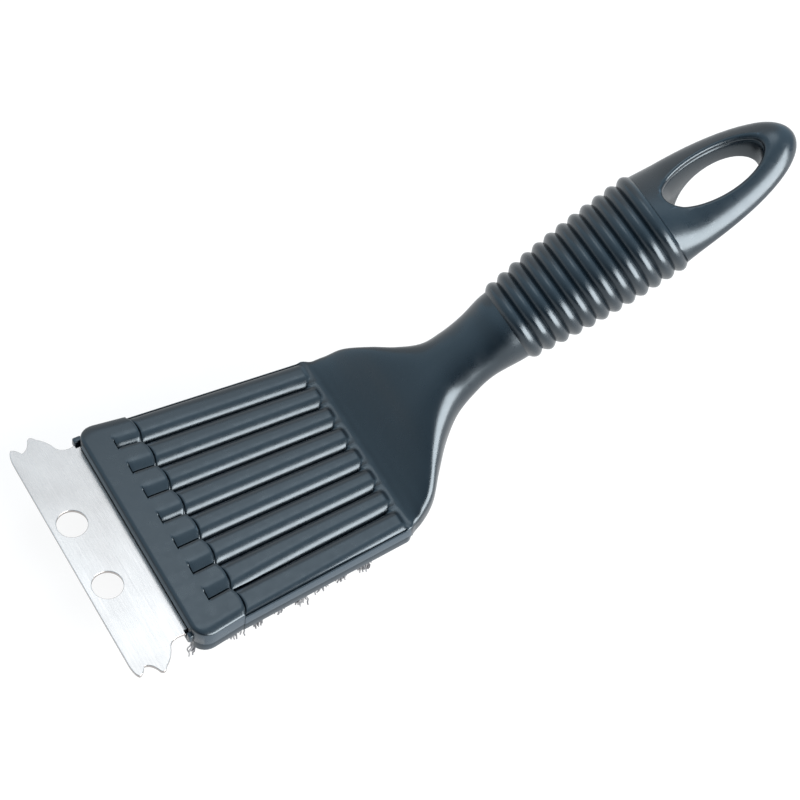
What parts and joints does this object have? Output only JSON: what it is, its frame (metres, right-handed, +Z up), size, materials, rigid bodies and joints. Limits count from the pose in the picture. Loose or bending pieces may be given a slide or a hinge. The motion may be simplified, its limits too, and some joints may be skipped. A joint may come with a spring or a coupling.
{
  "type": "grill cleaning brush",
  "caption": "One-piece plastic grill brush: ribbed handle with a hanging hole, barred head, notched steel scraper blade across the front and crimped steel bristle tufts underneath.",
  "frame": {"origin": "on the ground plane that the bristle tips touch, under the middle of the outline", "axes": "+X from the scraper blade towards the hanging loop, along the length; +Z up, from the bristle tips to the bars; +Y across, to the left when looking along +X"},
  "size_m": [0.2086, 0.0786, 0.0864],
  "materials": {
    "moulded_plastic": "semi-gloss moulded, dark blue-grey",
    "blade_steel": "fine brushed, bright",
    "zinc_plate": "zinc-plated screw",
    "wire_steel": "crimped bristle wire"
  },
  "bodies": {
    "root": {"moulded_body": "moulded_plastic", "scraper_blade": "blade_steel", "blade_screw_near": "zinc_plate", "blade_screw_far": "zinc_plate", "bristle_tuft_c1_r1": "wire_steel", "bristle_tuft_c1_r2": "wire_steel", "bristle_tuft_c1_r3": "wire_steel", "bristle_tuft_c1_r4": "wire_steel", "bristle_tuft_c1_r5": "wire_steel", "bristle_tuft_c1_r6": "wire_steel", "bristle_tuft_c1_r7": "wire_steel", "bristle_tuft_c2_r1": "wire_steel", "bristle_tuft_c2_r2": "wire_steel", "bristle_tuft_c2_r3": "wire_steel", "bristle_tuft_c2_r4": "wire_steel", "bristle_tuft_c2_r5": "wire_steel", "bristle_tuft_c2_r6": "wire_steel", "bristle_tuft_c2_r7": "wire_steel", "bristle_tuft_c3_r1": "wire_steel", "bristle_tuft_c3_r2": "wire_steel", "bristle_tuft_c3_r3": "wire_steel", "bristle_tuft_c3_r4": "wire_steel", "bristle_tuft_c3_r5": "wire_steel", "bristle_tuft_c3_r6": "wire_steel", "bristle_tuft_c3_r7": "wire_steel", "bristle_tuft_c4_r1": "wire_steel", "bristle_tuft_c4_r2": "wire_steel", "bristle_tuft_c4_r3": "wire_steel", "bristle_tuft_c4_r4": "wire_steel", "bristle_tuft_c4_r5": "wire_steel", "bristle_tuft_c4_r6": "wire_steel", "bristle_tuft_c4_r7": "wire_steel", "bristle_tuft_c5_r1": "wire_steel", "bristle_tuft_c5_r2": "wire_steel", "bristle_tuft_c5_r3": "wire_steel", "bristle_tuft_c5_r4": "wire_steel", "bristle_tuft_c5_r5": "wire_steel", "bristle_tuft_c5_r6": "wire_steel", "bristle_tuft_c5_r7": "wire_steel", "bristle_tuft_c6_r1": "wire_steel", "bristle_tuft_c6_r2": "wire_steel", "bristle_tuft_c6_r3": "wire_steel", "bristle_tuft_c6_r4": "wire_steel", "bristle_tuft_c6_r5": "wire_steel", "bristle_tuft_c6_r6": "wire_steel", "bristle_tuft_c6_r7": "wire_steel", "bristle_tuft_c7_r1": "wire_steel", "bristle_tuft_c7_r2": "wire_steel", "bristle_tuft_c7_r3": "wire_steel", "bristle_tuft_c7_r4": "wire_steel", "bristle_tuft_c7_r5": "wire_steel", "bristle_tuft_c7_r6": "wire_steel", "bristle_tuft_c7_r7": "wire_steel", "bristle_tuft_c8_r2": "wire_steel", "bristle_tuft_c8_r3": "wire_steel", "bristle_tuft_c8_r4": "wire_steel", "bristle_tuft_c8_r5": "wire_steel", "bristle_tuft_c8_r6": "wire_steel"}
  },
  "joints": []
}
